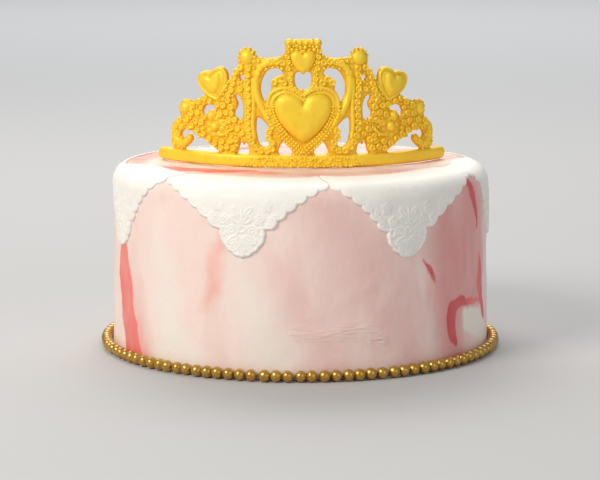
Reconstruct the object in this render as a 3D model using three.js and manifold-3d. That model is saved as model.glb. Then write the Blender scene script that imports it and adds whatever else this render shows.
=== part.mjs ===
// A round celebration cake covered in sugar paste, with seven lace doilies of thin sugar paste
// laid over its rim, a strand of gold sugar pearls round its foot and a gold gum-paste tiara
// standing on top. Millimetres, +Z up, the front of the cake towards -Y.
// The origin is the middle of the underside, on the surface that the cake stands on.

import * as THREE from "three";
import { mergeVertices } from "three/addons/utils/BufferGeometryUtils.js";
import Module from "manifold-3d";

// ---- driving dimensions ----

const GAP = 0.3; // air left between pieces that touch

// The cake: an 8-inch round, widening a little towards its foot, with a soft upper edge.
const CAKE_HEIGHT = 105.2;
const CAKE_RADIUS = 108.1;
const FOOT_RADIUS = 109.5;
const RIM_ROUND = 9;
const SLOW_FOOT = 25; // the lowest part of the side, where its waves fade out
const CAKE_FACETS = 40;
const RIM_FACETS = 3;

// The pearls: one strand of beads that touch each other round the foot.
const PEARL_COUNT = 108;
const PEARL_RADIUS = 3.25;
const PEARL_RING = FOOT_RADIUS + GAP + PEARL_RADIUS + 0.3;
const PEARL_NECK = 0.5; // radius between two pearls, as a share of the pearl's
const PEARL_SHOULDER = 0.95; // and at a fifth of the pitch to each side of its middle

// The lace: each doily is a triangle whose point hangs down the side. Angles run from the front
// of the cake towards its right: the two upper corners, and the point. tip is the height of the
// point. The inner edge lies on top, at these distances from the middle of the cake: at the left
// corner, half way and at the right corner. A number beyond the rim turns the edge out sooner.
const LACE_THICKNESS = 1.1;
const DOILIES = [
  { corners: [-87.5, -45.5], point: -68.0, tip: 63.5, inner: [140, 84, 87] },
  { corners: [-45.3, 8.7], point: -16.6, tip: 66.6, inner: [85, 79, 69] },
  { corners: [8.9, 65.3], point: 32.4, tip: 64.5, inner: [68, 77, 80] },
  { corners: [65.5, 109.9], point: 83.4, tip: 66.0, inner: [81, 88, 200] },
  { corners: [110.1, 163.3], point: 136.0, tip: 61.5, inner: [103, 103, 102] },
  { corners: [163.5, 217.7], point: 190.0, tip: 60.5, inner: [102, 101, 103] },
  { corners: [217.9, 272.3], point: 244.0, tip: 61.5, inner: [103, 103, 103] },
];
const CORNER_RUN = 4; // how far down over the rim the two upper corners lie
const SCALLOPS = 5; // on each slanting side
const SCALLOP_DEPTH = 2.4;
const SIDE_SAG = 2.4; // how far a slanting side hangs in from a straight line
// The pointed tip below the last notch, right half: x from its middle, y up from its lowest point.
const TIP_LOBE = [[12.2, 15.4], [12.9, 12], [10.6, 6.6], [7.8, 3], [3.6, 1.4], [0, 0]];

// The tiara: pressed flat in a mould, then dried against a round former.
const FORMER_RADIUS = 96.4;
const TIARA_FACE = 99.6; // radius at which the flat design keeps its length
const TIARA_CENTRE = [0.3, 70.7];
const TIARA_TURN = 0.85; // degrees, towards the right
const FORMER_FACETS = 40;
const SHEET = 1.8; // thickness of the thin ground that carries the ornament
const BURIED = 2.5; // how far every ornament reaches behind the back before that is cut flush
const BAND_LENGTH = 204.8;
const BAND_HEIGHT = 8;
const BAND_DEPTH = 3.2;
const TIARA_HEIGHT = 73.7;
const ROSETTE_RADIUS = 2.2;

const wasm = await Module();
wasm.setup();

// ---- solids and joins ----

// A closed geometry as a solid that can be joined and cut.
function solid(geometry) {
  const bare = geometry.index ? geometry.toNonIndexed() : geometry.clone();
  bare.deleteAttribute("normal");
  bare.deleteAttribute("uv");
  const welded = mergeVertices(bare, 1e-3);
  return new wasm.Manifold(
    new wasm.Mesh({
      numProp: 3,
      vertProperties: welded.attributes.position.array,
      triVerts: new Uint32Array(welded.index.array),
    }),
  );
}

// The geometry of a solid, with flat shading.
function geometryOf(body) {
  const made = body.getMesh();
  const geometry = new THREE.BufferGeometry();
  const stride = made.numProp;
  const places = new Float32Array((made.vertProperties.length / stride) * 3);
  for (let i = 0; i < places.length / 3; i++) {
    places.set(made.vertProperties.subarray(i * stride, i * stride + 3), i * 3);
  }
  geometry.setAttribute("position", new THREE.BufferAttribute(places, 3));
  geometry.setIndex(new THREE.BufferAttribute(new Uint32Array(made.triVerts), 1));
  const flat = geometry.toNonIndexed();
  flat.computeVertexNormals();
  return flat;
}

function joined(bodies) {
  return bodies.reduce((sum, body) => sum.add(body));
}

// Moves every vertex of a geometry to place(x, y, z), which returns three numbers.
function reshape(geometry, place) {
  const at = geometry.attributes.position;
  for (let i = 0; i < at.count; i++) {
    at.setXYZ(i, ...place(at.getX(i), at.getY(i), at.getZ(i)));
  }
  return geometry;
}

// A turned solid round the vertical axis: profile points are [radius, height], from the bottom up.
function turned(profile, facets) {
  const points = profile.map(([radius, height]) => new THREE.Vector2(radius, height));
  return new THREE.LatheGeometry(points, facets).rotateX(Math.PI / 2);
}

// ---- the cake ----

const RIM_LENGTH = (RIM_ROUND * Math.PI) / 2;

// Hand-smoothed paste: a few slow waves, in millimetres outwards, that die out at the foot.
function wave(angle, height) {
  const slow = Math.sin(2 * angle + 0.6) * 0.35 + Math.sin(3 * angle + 2.1) * 0.25;
  return slow * Math.min(1, height / SLOW_FOOT);
}

// Radius of the cake's side at a height.
function sideRadius(height) {
  return THREE.MathUtils.lerp(FOOT_RADIUS, CAKE_RADIUS, height / (CAKE_HEIGHT - RIM_ROUND));
}

// A point on or above the cake's skin. turn is the angle from the front in radians. run is the
// distance along the skin from where the flat top ends, positive over the rim and down the side.
function onSkin(turn, run, lift) {
  const inset = CAKE_RADIUS - RIM_ROUND;
  let radius = inset + run;
  let height = CAKE_HEIGHT + lift;
  if (run > 0) {
    const tilt = Math.min(run / RIM_ROUND, Math.PI / 2);
    radius = inset + (RIM_ROUND + lift) * Math.sin(tilt);
    height = CAKE_HEIGHT - RIM_ROUND + (RIM_ROUND + lift) * Math.cos(tilt);
  }
  if (run > RIM_LENGTH) {
    height = CAKE_HEIGHT - RIM_ROUND - (run - RIM_LENGTH);
    radius = sideRadius(height) + lift;
  }
  radius += wave(turn, height);
  return [radius * Math.sin(turn), -radius * Math.cos(turn), height];
}

// Where the side is at a height, as a run along the skin.
function runAt(height) {
  return RIM_LENGTH + (CAKE_HEIGHT - RIM_ROUND - height);
}

function rimRuns() {
  return Array.from({ length: RIM_FACETS + 1 }, (_, i) => (i * RIM_LENGTH) / RIM_FACETS);
}

function cakeGeometry() {
  const softFoot = 1.6;
  const rings = [runAt(softFoot), runAt(SLOW_FOOT), ...rimRuns().reverse()];
  const profile = [[0, 0], [FOOT_RADIUS - softFoot, 0]];
  for (const run of rings) {
    const [, y, z] = onSkin(0, run, 0);
    profile.push([-y - wave(0, z), z]);
  }
  profile.push([0, CAKE_HEIGHT]);
  return reshape(turned(profile, CAKE_FACETS), (x, y, z) => {
    const radius = Math.hypot(x, y);
    if (radius < 1) return [0, 0, z];
    const turn = Math.atan2(x, -y);
    const wide = radius + wave(turn, z);
    return [wide * Math.sin(turn), -wide * Math.cos(turn), z];
  });
}

// ---- the pearl strand ----

// A ring whose tube swells once for each pearl. Every third station is the neck between two.
function pearlGeometry() {
  const sides = 5;
  const stations = [
    { along: -0.5, size: PEARL_NECK },
    { along: -0.2, size: PEARL_SHOULDER },
    { along: 0.2, size: PEARL_SHOULDER },
  ];
  const around = PEARL_COUNT * stations.length;
  const ring = new THREE.TorusGeometry(PEARL_RING, PEARL_RADIUS, sides, around);
  const at = ring.attributes.position;
  for (let side = 0; side <= sides; side++) {
    for (let step = 0; step <= around; step++) {
      const pearl = Math.floor(step / stations.length) % PEARL_COUNT;
      const { along, size } = stations[step % stations.length];
      const turn = ((pearl + along) * 2 * Math.PI) / PEARL_COUNT;
      const lean = ((side - 0.75) * 2 * Math.PI) / sides;
      const radius = PEARL_RADIUS * size;
      const out = PEARL_RING + radius * Math.cos(lean);
      const up = PEARL_RADIUS * PEARL_SHOULDER * Math.cos(Math.PI / sides) + radius * Math.sin(lean);
      at.setXYZ(side * (around + 1) + step, out * Math.cos(turn), out * Math.sin(turn), up);
    }
  }
  return ring;
}

// ---- the lace doilies ----

// Outline of one doily in the flat: x across it from half way between its corners, y up, zero
// where the cake's flat top ends. It runs down the right side, round the tip, up the left side
// and back along the inner edge.
function doilyOutline({ tip, inner }, across, swing) {
  const bottom = -runAt(tip);
  const corner = [across, -CORNER_RUN];
  const innerEdge = inner.map((radius) => CAKE_RADIUS - RIM_ROUND - radius);
  const right = [...slantingSide(corner, swing, bottom), ...lobe(swing, bottom)];
  const left = [...slantingSide(corner, -swing, bottom), ...lobe(-swing, bottom).slice(0, -1)];
  const edge = [-1, -0.7, 0, 0.7, 1].map((share) => {
    const end = share < 0 ? innerEdge[0] : innerEdge[2];
    const reach = THREE.MathUtils.lerp(innerEdge[1], end, share ** 4);
    return [share * across, Math.max(reach, -RIM_ROUND * 0.3)];
  });
  return polygon([...right, ...left.map(([x, y]) => [-x, y]).reverse(), ...edge]);
}

function lobe(swing, bottom) {
  return TIP_LOBE.map(([x, y]) => [swing + x, bottom + y]);
}

// The right side from its corner to just above the tip's notch: it hangs in slightly from a
// straight line, with a row of scallops.
function slantingSide(from, swing, bottom) {
  const to = [swing + TIP_LOBE[0][0] + 2.6, bottom + TIP_LOBE[0][1] - 0.4];
  const [dx, dy] = [to[0] - from[0], to[1] - from[1]];
  const length = Math.hypot(dx, dy);
  return Array.from({ length: 2 * SCALLOPS + 1 }, (_, i) => {
    const share = i / (2 * SCALLOPS);
    const reach = (i % 2) * SCALLOP_DEPTH - SIDE_SAG * Math.sin(Math.PI * share);
    return [from[0] + dx * share - (dy / length) * reach, from[1] + dy * share + (dx / length) * reach];
  });
}

function polygon(points) {
  return new THREE.Shape(points.map(([x, y]) => new THREE.Vector2(x, y)));
}

// The doily draped over the rim: a bent sheet, cut to the outline by a thick copy of it.
function doilyGeometry(doily) {
  const [left, right] = doily.corners.map((corner) => THREE.MathUtils.degToRad(corner));
  const middle = (left + right) / 2;
  const across = ((right - left) / 2) * CAKE_RADIUS;
  const swing = (THREE.MathUtils.degToRad(doily.point) - middle) * CAKE_RADIUS;
  const facet = (2 * Math.PI) / CAKE_FACETS;
  const first = Math.floor(left / facet);
  const columns = Math.ceil(right / facet) - first;
  const rows = [runAt(55), ...rimRuns().reverse(), -40];
  const sheet = new THREE.BoxGeometry(1, 1, 1, columns, rows.length - 1, 1);
  reshape(sheet, (x, y, z) => {
    const column = Math.round((x + 0.5) * columns);
    const row = Math.round((y + 0.5) * (rows.length - 1));
    return onSkin((first + column) * facet, rows[row], z > 0 ? GAP + LACE_THICKNESS : GAP);
  });
  const outline = doilyOutline(doily, across, swing);
  const cutter = new THREE.ExtrudeGeometry(outline, { depth: 1, bevelEnabled: false });
  reshape(cutter, (x, y, z) => onSkin(middle + x / CAKE_RADIUS, -y, z > 0.5 ? 70 : -3));
  return geometryOf(solid(sheet).intersect(solid(cutter)));
}

// ---- the tiara, in the flat: x along the band, y up, z out of the back ----

// Wraps a flat piece round the former.
function wrapped(geometry) {
  return solid(
    reshape(geometry, (x, y, z) => {
      const turn = x / TIARA_FACE;
      const radius = FORMER_RADIUS + z;
      return [radius * Math.sin(turn), -radius * Math.cos(turn), y];
    }),
  );
}

function smoothLine(points) {
  return new THREE.CatmullRomCurve3(points.map(([x, y]) => new THREE.Vector3(x, y, 0)));
}

// A strap along a smooth line, bevelled along both edges.
function strap(points, width, height, stepLength) {
  const line = smoothLine(points);
  const half = width / 2;
  const section = [[BURIED, -half], [BURIED, half], [-0.6 * height, half]];
  section.push([-height, 0.5 * half], [-height, -0.5 * half], [-0.6 * height, -half]);
  const steps = Math.round(line.getLength() / stepLength);
  return wrapped(new THREE.ExtrudeGeometry(polygon(section), { steps, extrudePath: line }));
}

// A round piece on the sheet: its profile is [radius, height] pairs from the edge to the crown.
function boss(x, y, profile, facets) {
  const base = [[0, -BURIED], [profile[0][0], -BURIED]];
  return wrapped(turned([...base, ...profile], facets).translate(x, y, 0));
}

// A rosette: a bead in a round setting.
function rosette(x, y, radius) {
  return boss(x, y, [[1.15 * radius, 1.3], [0.7 * radius, 3.2], [0, 3.2]], 5);
}

// A smooth domed stone in a raised ring.
function cabochon(x, y, stone, setting) {
  return boss(x, y, [[setting, 1.4], [0.86 * setting, 3], [0.8 * stone, 4], [0, 4.8]], 7);
}

// A heart's outline, from the notch down the right side and up the left. width is measured from
// the middle to one side; lobes, notch, waist and tip are heights.
function heartShape({ width, lobes, notch, waist, tip }) {
  const half = [
    [0, notch],
    [0.08, notch + 0.8 * (lobes - notch)],
    [0.32, lobes],
    [0.57, lobes],
    [0.84, lobes],
    [1, (lobes + waist) / 2],
    [1, waist],
    [1, waist - 0.34 * (waist - tip)],
    [0.5, tip + 0.2 * (waist - tip)],
    [0, tip],
  ].map(([x, y]) => [x * width, y]);
  const mirrored = half.slice(0, -1).reverse().map(([x, y]) => [-x, y]);
  const bends = [...half, ...mirrored];
  const heart = new THREE.Shape();
  heart.moveTo(...bends[0]);
  for (let i = 1; i < bends.length; i += 3) {
    heart.bezierCurveTo(...bends[i], ...bends[i + 1], ...bends[i + 2]);
  }
  return heart;
}

// A puffed heart: rise is the height of its rounded edge, round how far the rounding reaches in.
function puffedHeart(size, { rise, round, finish }, place = (geometry) => geometry) {
  const body = new THREE.ExtrudeGeometry(heartShape(size), {
    depth: SHEET + BURIED,
    bevelThickness: rise,
    bevelSize: round,
    bevelOffset: -round,
    bevelSegments: finish,
    curveSegments: finish + 1,
  });
  return wrapped(place(body.translate(0, 0, -BURIED)));
}

// A thick prism through the sheet, of an outline: part of the sheet, or one of its openings.
function prism(points) {
  const outline = new THREE.ExtrudeGeometry(polygon(points), { depth: 1, bevelEnabled: false });
  return wrapped(reshape(outline, (x, y, z) => [x, y, z > 0.5 ? 40 : -20]));
}

// The pierced sheet of the right half, in three pieces that overlap; the left half mirrors it.
const SHEETS = {
  centre: [[-0.5, 0], [37, 0], [38, 44], [38.7, 57.4], [38.6, 62.4], [36.8, 66.6], [33.2, 68],
    [29.6, 66.4], [27.8, 62.2], [10.2, 62.8], [10.3, 71.8], [8.8, 73.4], [-0.5, 73]],
  cluster: [[36, 6], [50, 6], [53.5, 9.6], [62, 14.4], [68, 17.4], [72.6, 19.6], [74, 36.7],
    [65, 36.8], [60.4, 40.4], [61, 51], [49, 53], [43.4, 48.8], [41, 53.7], [38.7, 57.4],
    [36, 57.4]],
  outer: [[70, 18.4], [74.6, 20], [78.4, 19.2], [80.4, 16.8], [79.6, 14.8], [77.2, 14], [75, 14.8],
    [72.8, 16.8], [70.6, 16], [71, 13.8], [73.6, 11], [77.6, 8.4], [78, 6], [86.4, 6], [88.9, 11.8],
    [89.8, 17], [88.6, 21], [85, 24.4], [80.6, 26.4], [81.8, 31.4], [80.2, 35.6], [77, 37.2],
    [70, 36.7]],
};
const OPENINGS = {
  beside_flower: [[11.4, 53.4], [13, 56], [16, 57], [19.8, 56.2], [22.8, 53], [24.9, 47.8],
    [24.9, 42.5], [22.4, 37.4], [20.8, 37.4], [18.2, 44], [19, 47.6], [17.6, 51], [14.6, 52]],
  beside_post: [[26.4, 29.4], [27.6, 26.8], [27.6, 18.6], [26.2, 14], [23.6, 11.9], [20.9, 12],
    [19.4, 14.2], [21.9, 17.6], [19.7, 21.2], [20.2, 23.8]],
  beside_tip: [[10.6, 15.4], [12.2, 14.9], [15.8, 7], [4.4, 7]],
  below_post: [[34, 16.1], [37.4, 7], [31, 7]],
  above_bridge: [[31.4, 49], [33, 51.8], [35.8, 52.8], [38, 51.8], [36.8, 50], [32.8, 47.8]],
  below_bridge: [[37, 40], [39.4, 41.6], [40.8, 40.3], [38, 35.8], [41.6, 30.9], [40.6, 28.6],
    [36.2, 26], [35.4, 34]],
  crescent: [[53, 32], [55, 34.4], [58.6, 35], [62, 33.4], [62.8, 30.4], [61.4, 28.2],
    [59.6, 29.4], [58.8, 31.4], [56, 32]],
};
const CENTRE_OPENING = [[-4.6, 55], [-5, 50], [-4.4, 46.8], [-2.6, 44.6], [2.6, 44.6], [4.4, 46.8],
  [5, 50], [4.6, 55]];

const BIG_HEART = { width: 16.8, lobes: 42.2, notch: 36.2, waist: 35, tip: 14.3 };
const TOP_HEART = { width: 7.2, lobes: 66.6, notch: 65, waist: 63.4, tip: 53.2 };
const SIDE_HEART = { width: 6.6, lobes: 5.4, notch: 3.7, waist: 2.2, tip: -6.8 };
const SIDE_FRAME = { width: 10.8, lobes: 7.6, notch: 6.2, waist: 2.2, tip: -11.6 };
const SIDE_HEART_AT = [55, 47.9];
const SIDE_HEART_LEAN = 15; // degrees, outwards

// Lines of the right half that carry straps and rows of rosettes.
const HEART_RIM = [[0, 39.4], [5, 43.2], [11.5, 44], [17.4, 41], [19, 35.5], [17.6, 28.5],
  [12.8, 20.6], [6.4, 13.8], [0, 8.4]];
const RAIL = [[9.4, 59.4], [14, 60.2], [20, 60], [25, 57], [27.4, 51], [27.4, 44.5], [25.8, 37.6],
  [23, 32], [18.6, 26]];
const POST = [[32, 57.5], [32.6, 51], [32.6, 44], [31.8, 38], [32.2, 31], [32.4, 23], [30.6, 16],
  [26, 10], [19, 9.8]];
const INNER_STRAND = [[17.2, 25], [19.4, 21.6], [20.1, 17.4], [17.8, 14], [18.2, 10]];
const ARM = [[35.6, 57.4], [38.4, 55.4], [40.6, 52], [41.4, 47.6], [43, 43], [46, 39.4]];
const SCROLL = [[80.6, 24], [84.8, 21.6], [86.4, 17.6], [84.8, 13.2], [81, 11], [76.6, 11.8],
  [73.2, 14.6]];
const CREST = [[-8.6, 71], [8.6, 71]];
const CORNER = [[8.2, 70.8]];
const FLOWER = [[14, 50.4], [16.8, 48.6], [11, 48.6]];
const CLUSTER = [[47.6, 40], [43, 35.8], [52, 36.4], [47, 30], [44, 24.6], [61.8, 37.4], [68.4, 32],
  [72.6, 25.4], [64.6, 23], [58.8, 17.4], [52.6, 13.4], [47.4, 18], [45.6, 11], [40.6, 14]];

// Rosettes in a row along a line, from one share of it to another.
function rosetteRow(points, from, to, count) {
  const line = smoothLine(points);
  return Array.from({ length: count }, (_, i) => {
    const { x, y } = line.getPointAt(THREE.MathUtils.lerp(from, to, i / (count - 1)));
    return [x, y];
  });
}

function tiaraGeometry() {
  const sheets = [];
  const openings = [prism(CENTRE_OPENING)];
  const relief = [
    puffedHeart(BIG_HEART, { rise: 3.4, round: 5, finish: 3 }),
    puffedHeart(TOP_HEART, { rise: 2.4, round: 2.4, finish: 2 }),
    strap([[4 - BAND_LENGTH / 2, 4], [0, 4], [BAND_LENGTH / 2 - 4, 4]], BAND_HEIGHT, BAND_DEPTH, 15),
    strap(CREST, 3.6, 2.8, 18),
  ];
  const rosettes = [
    ...rosetteRow(RAIL, 0.1, 0.36, 3),
    ...rosetteRow(POST, 0.06, 0.96, 8),
    ...rosetteRow(INNER_STRAND, 0.15, 0.9, 3),
    ...rosetteRow(ARM, 0.1, 0.85, 3),
    ...CORNER,
    ...FLOWER,
    ...CLUSTER,
  ];
  for (const side of [1, -1]) {
    const flip = (points) => {
      const flipped = points.map(([x, y]) => [side * x, y]);
      return side > 0 ? flipped : flipped.reverse();
    };
    const lean = THREE.MathUtils.degToRad(-SIDE_HEART_LEAN) * side;
    const leaning = (geometry) =>
      geometry.rotateZ(lean).translate(side * SIDE_HEART_AT[0], SIDE_HEART_AT[1], 0);
    sheets.push(...Object.values(SHEETS).map((outline) => prism(flip(outline))));
    openings.push(...Object.values(OPENINGS).map((outline) => prism(flip(outline).reverse())));
    relief.push(
      puffedHeart(SIDE_HEART, { rise: 3.4, round: 2.8, finish: 2 }, leaning),
      puffedHeart(SIDE_FRAME, { rise: 0.9, round: 1.2, finish: 1 }, leaning),
      boss(side * (BAND_LENGTH / 2 - 4), 4, [[4, 1.9], [2, 3.2], [0, 3.2]], 8),
      strap(flip(HEART_RIM), 4.8, 2.8, 8),
      strap(flip(RAIL), 4.4, 3, 8),
      strap(flip(SCROLL), 4.4, 3, 6),
      cabochon(side * 33.2, 62.6, 3.5, 5.2),
      cabochon(side * 76.2, 31.8, 3, 4.9),
      cabochon(side * 54, 22.2, 2.5, 4.2),
      boss(side * 56.2, 28.4, [[3.3, 1.4], [2, 3.6], [0, 4]], 6),
    );
    relief.push(...rosettes.map(([x, y]) => rosette(side * x, y, ROSETTE_RADIUS)));
  }
  const drum = (radius) =>
    solid(
      new THREE.CylinderGeometry(radius, radius, 3 * TIARA_HEIGHT, FORMER_FACETS)
        .rotateX(Math.PI / 2)
        .translate(0, 0, 0.5 * TIARA_HEIGHT),
    );
  const pierced = joined(sheets).subtract(joined(openings)).intersect(drum(FORMER_RADIUS + SHEET));
  return geometryOf(joined([pierced, ...relief]).subtract(drum(FORMER_RADIUS)));
}

// ---- colours and the finished group ----

const SUGAR_PASTE = new THREE.MeshStandardMaterial({ color: "#f3d3cc", roughness: 0.55 });
const WHITE_PASTE = new THREE.MeshStandardMaterial({ color: "#f7f2ea", roughness: 0.6 });
const GOLD_PEARL = new THREE.MeshStandardMaterial({ color: "#b8923f", roughness: 0.35, metalness: 0.8 });
const GOLD_LUSTRE = new THREE.MeshStandardMaterial({ color: "#eeb524", roughness: 0.45, metalness: 0.5 });

function part(name, geometry, material) {
  const mesh = new THREE.Mesh(geometry, material);
  mesh.name = name;
  return mesh;
}

const cake = new THREE.Group();
cake.add(part("cake_body", cakeGeometry(), SUGAR_PASTE));
cake.add(part("pearl_border", pearlGeometry(), GOLD_PEARL));
DOILIES.forEach((doily, i) => {
  cake.add(part(`lace_panel_${i + 1}`, doilyGeometry(doily), WHITE_PASTE));
});

const tiara = part("tiara", tiaraGeometry(), GOLD_LUSTRE);
tiara.position.set(...TIARA_CENTRE, CAKE_HEIGHT + GAP);
tiara.rotation.z = THREE.MathUtils.degToRad(TIARA_TURN);
cake.add(tiara);

export default cake;
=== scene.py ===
import math
from functools import reduce

import bmesh
import bpy
import numpy as np
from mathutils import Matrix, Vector


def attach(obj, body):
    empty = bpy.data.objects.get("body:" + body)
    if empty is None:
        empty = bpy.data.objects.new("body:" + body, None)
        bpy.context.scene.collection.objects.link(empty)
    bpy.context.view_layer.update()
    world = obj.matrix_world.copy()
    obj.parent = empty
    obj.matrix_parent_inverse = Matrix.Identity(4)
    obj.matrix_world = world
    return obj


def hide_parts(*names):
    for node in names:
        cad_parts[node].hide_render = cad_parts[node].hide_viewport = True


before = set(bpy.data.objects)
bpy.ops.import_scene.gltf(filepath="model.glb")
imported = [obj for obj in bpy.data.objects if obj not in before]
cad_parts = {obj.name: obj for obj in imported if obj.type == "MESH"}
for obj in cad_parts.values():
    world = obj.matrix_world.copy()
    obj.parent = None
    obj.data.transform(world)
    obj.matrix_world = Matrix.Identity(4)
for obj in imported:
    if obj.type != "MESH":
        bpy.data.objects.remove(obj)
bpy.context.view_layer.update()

# ---- The cake ----
# A round sponge under one sheet of rolled sugar paste, draped and smoothed by hand: cream paste
# marbled with rose, with salmon red streaks that hang down the side where the sheet stretched.
# Its skin is one fine closed mesh, and the marbling is painted on it along paths.

MM = 0.001
CAKE_HEIGHT = 105.2 * MM
CAKE_RADIUS = 108.1 * MM
FOOT_RADIUS = 109.5 * MM
RIM_ROUND = 9 * MM
RIM_LENGTH = RIM_ROUND * math.pi / 2  # over the rounded rim, from the flat top to the side
SOFT_FOOT = 1.6 * MM  # rounding of the paste's lower edge
SLOW_FOOT = 25 * MM  # height up to which the slow waves fade in
SLOW_WAVES = ((2, 0.6, 0.35), (3, 2.1, 0.25))  # times round the cake, phase, depth in millimetres


def wave(turn, height):
    """The paste's slow waves, outwards, dying out towards the foot."""
    slow = sum(np.sin(times * turn + phase) * depth for times, phase, depth in SLOW_WAVES) * MM
    return slow * np.clip(height / SLOW_FOOT, 0, 1)


def on_skin(turn, run, lift):
    """Points on the skin: turn from the front, run outwards and down from the end of the flat top."""
    turn, run, lift = np.broadcast_arrays(turn, run, lift)
    tilt = np.clip(run / RIM_ROUND, 0, math.pi / 2)
    down = np.maximum(run - RIM_LENGTH, 0)
    height = CAKE_HEIGHT - RIM_ROUND + (RIM_ROUND + lift) * np.cos(tilt) - down
    spread = (FOOT_RADIUS - CAKE_RADIUS) / (CAKE_HEIGHT - RIM_ROUND)
    radius = CAKE_RADIUS - RIM_ROUND + np.minimum(run, 0) + (RIM_ROUND + lift) * np.sin(tilt)
    radius = radius + spread * down + wave(turn, height)
    return np.stack([radius * np.sin(turn), -radius * np.cos(turn), height], -1)


def run_at(height):
    """The run along the skin at a height of the side."""
    return RIM_LENGTH + CAKE_HEIGHT - RIM_ROUND - height


def skin_point(degrees, height):
    """The point of the skin at an angle from the front and a height in millimetres."""
    return on_skin(np.radians(degrees), run_at(height * MM), 0.0)


def swell(points, length, seed):
    """Soft unevenness at points, about -1 to 1, with bumps about length apart."""
    waves, usual_sum = 24, 5
    chance = np.random.default_rng(seed)
    total = np.zeros(len(points))
    for _ in range(waves):
        way = chance.normal(size=3)
        way *= 2 * math.pi * chance.uniform(0.7, 1.3) / (length * np.linalg.norm(way))
        total += np.sin(points @ way + chance.uniform(0, 2 * math.pi))
    return total / usual_sum


def smooth_step(low, high, value):
    """0 up to low and 1 from high on, with a soft rise between."""
    share = np.clip((value - low) / (high - low), 0, 1)
    return share * share * (3 - 2 * share)


def corded(gap, width):
    """The height of a soft cord or dent, 0 to 1, at a distance from its line."""
    return np.exp(-((gap / width) ** 2))


def mesh_piece(name, points, faces):
    """A smooth-shaded object of these points and faces, with its faces outwards."""
    mesh = bpy.data.meshes.new(name)
    mesh.from_pydata(points, [], faces)
    shell = bmesh.new()
    shell.from_mesh(mesh)
    bmesh.ops.recalc_face_normals(shell, faces=shell.faces)
    shell.to_mesh(mesh)
    shell.free()
    mesh.shade_smooth()
    piece = bpy.data.objects.new(name, mesh)
    bpy.context.scene.collection.objects.link(piece)
    return piece


def ringed_piece(name, points, count):
    """A closed piece from rings of count points, then the tips that close the first and last ring."""
    index = np.arange(len(points) - 2).reshape(-1, count)
    after = np.roll(index, -1, axis=1)
    faces = np.stack([index[:-1], after[:-1], after[1:], index[1:]], -1).reshape(-1, 4).tolist()
    ends = ((len(points) - 2, index[0], after[0]), (len(points) - 1, after[-1], index[-1]))
    for tip, near, far in ends:
        faces += [(tip, b, a) for a, b in zip(near.tolist(), far.tolist())]
    return mesh_piece(name, points, faces)


def paint(piece, name, values):
    """Stores one number a point, for the material."""
    stored = piece.data.attributes.new(name, "FLOAT", "POINT").data
    stored.foreach_set("value", np.asarray(values, np.float32))


def linear(code):
    """A colour such as #f3d3cc as linear red, green, blue and alpha."""
    parts = [int(code[i : i + 2], 16) / 255 for i in (1, 3, 5)]
    return tuple(p / 12.92 if p <= 0.04045 else ((p + 0.055) / 1.055) ** 2.4 for p in parts) + (1.0,)


def add(tree, kind, inputs, **settings):
    """Adds a node: settings are its properties; an input is a value, a socket or a node's first output."""
    node = tree.nodes.new(kind)
    for key, value in settings.items():
        setattr(node, key, value)
    for key, value in inputs.items():
        if isinstance(value, bpy.types.Node):
            value = value.outputs[0]
        if isinstance(value, bpy.types.NodeSocket):
            tree.links.new(value, node.inputs[key])
        else:
            node.inputs[key].default_value = value
    return node


def new_material(name):
    """A material and its empty node tree."""
    material = bpy.data.materials.new(name)
    material.use_nodes = True
    material.node_tree.nodes.clear()
    return material, material.node_tree


def side(*stations):
    """A path down the side: degrees from the front, height and half width in millimetres."""
    return [(skin_point(degrees, height), width * MM) for degrees, height, width in stations]


def top(*stations):
    """A path over the flat top: x, y and half width in millimetres."""
    return [(np.array([x, y, CAKE_HEIGHT / MM]) * MM, width * MM) for x, y, width in stations]


def inside_streak(points, path):
    """How far points lie inside a streak along a path."""
    best = np.full(len(points), -1.0)
    for (a, start_width), (b, stop_width) in zip(path, path[1:]):
        share = np.clip(((points - a) @ (b - a)) / max((b - a) @ (b - a), 1e-12), 0, 1)
        gap = np.linalg.norm(points - a - share[:, None] * (b - a), axis=1)
        best = np.maximum(best, start_width + (stop_width - start_width) * share - gap)
    return best


# Salmon streaks keep a sharp edge.
SALMON_STREAKS = [
    side((-69, 76, 2.5), (-68.2, 68, 5), (-67.6, 59, 7.2), (-66.5, 48, 9), (-65.4, 37, 9.4),
         (-64, 25, 9.6), (-61, 14, 9), (-58, 3, 9)),
    side((38.8, 61, 0.8), (40.6, 56, 2.2), (42.4, 51.5, 1.7), (44.2, 47, 0.2)),
    side((52.4, 14, 2.2), (51.6, 18, 4.4), (51.2, 25, 5.4), (50.8, 31, 5.2), (55, 34, 3), (60, 33, 2.4),
         (65, 31.6, 1.8), (69, 30, 0.8)),
    side((69.5, 60, 1), (70, 50, 4), (69, 40, 5.4), (70.5, 32, 4.6), (74, 22, 3)),
    side((59.6, 103, 2.4), (61, 98, 3.8), (63.4, 91, 3.4), (66, 84, 2.6), (67.6, 76, 1)),
    side((112, 78, 1), (115, 55, 4), (112, 30, 5), (118, 6, 3)),
    side((158, 100, 2), (156, 74, 5), (160, 52, 2), (163, 40, 0.4)),
    side((-118, 62, 0.5), (-116, 42, 3.6), (-120, 20, 5), (-119, 4, 4)),
    side((-160, 96, 3), (-157, 76, 5.5), (-160, 58, 3), (-158, 49, 0.4)),
    top((-80, -20, 2), (-66, -31, 8), (-52, -36, 8), (-38, -38, 5), (-24, -40, 2)),
    top((97, 14, 0.6), (99, 22, 2.2), (96, 32, 1)),
    top((-40, 62, 2), (-30, 76, 4), (-20, 82, 2)),
]
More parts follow.
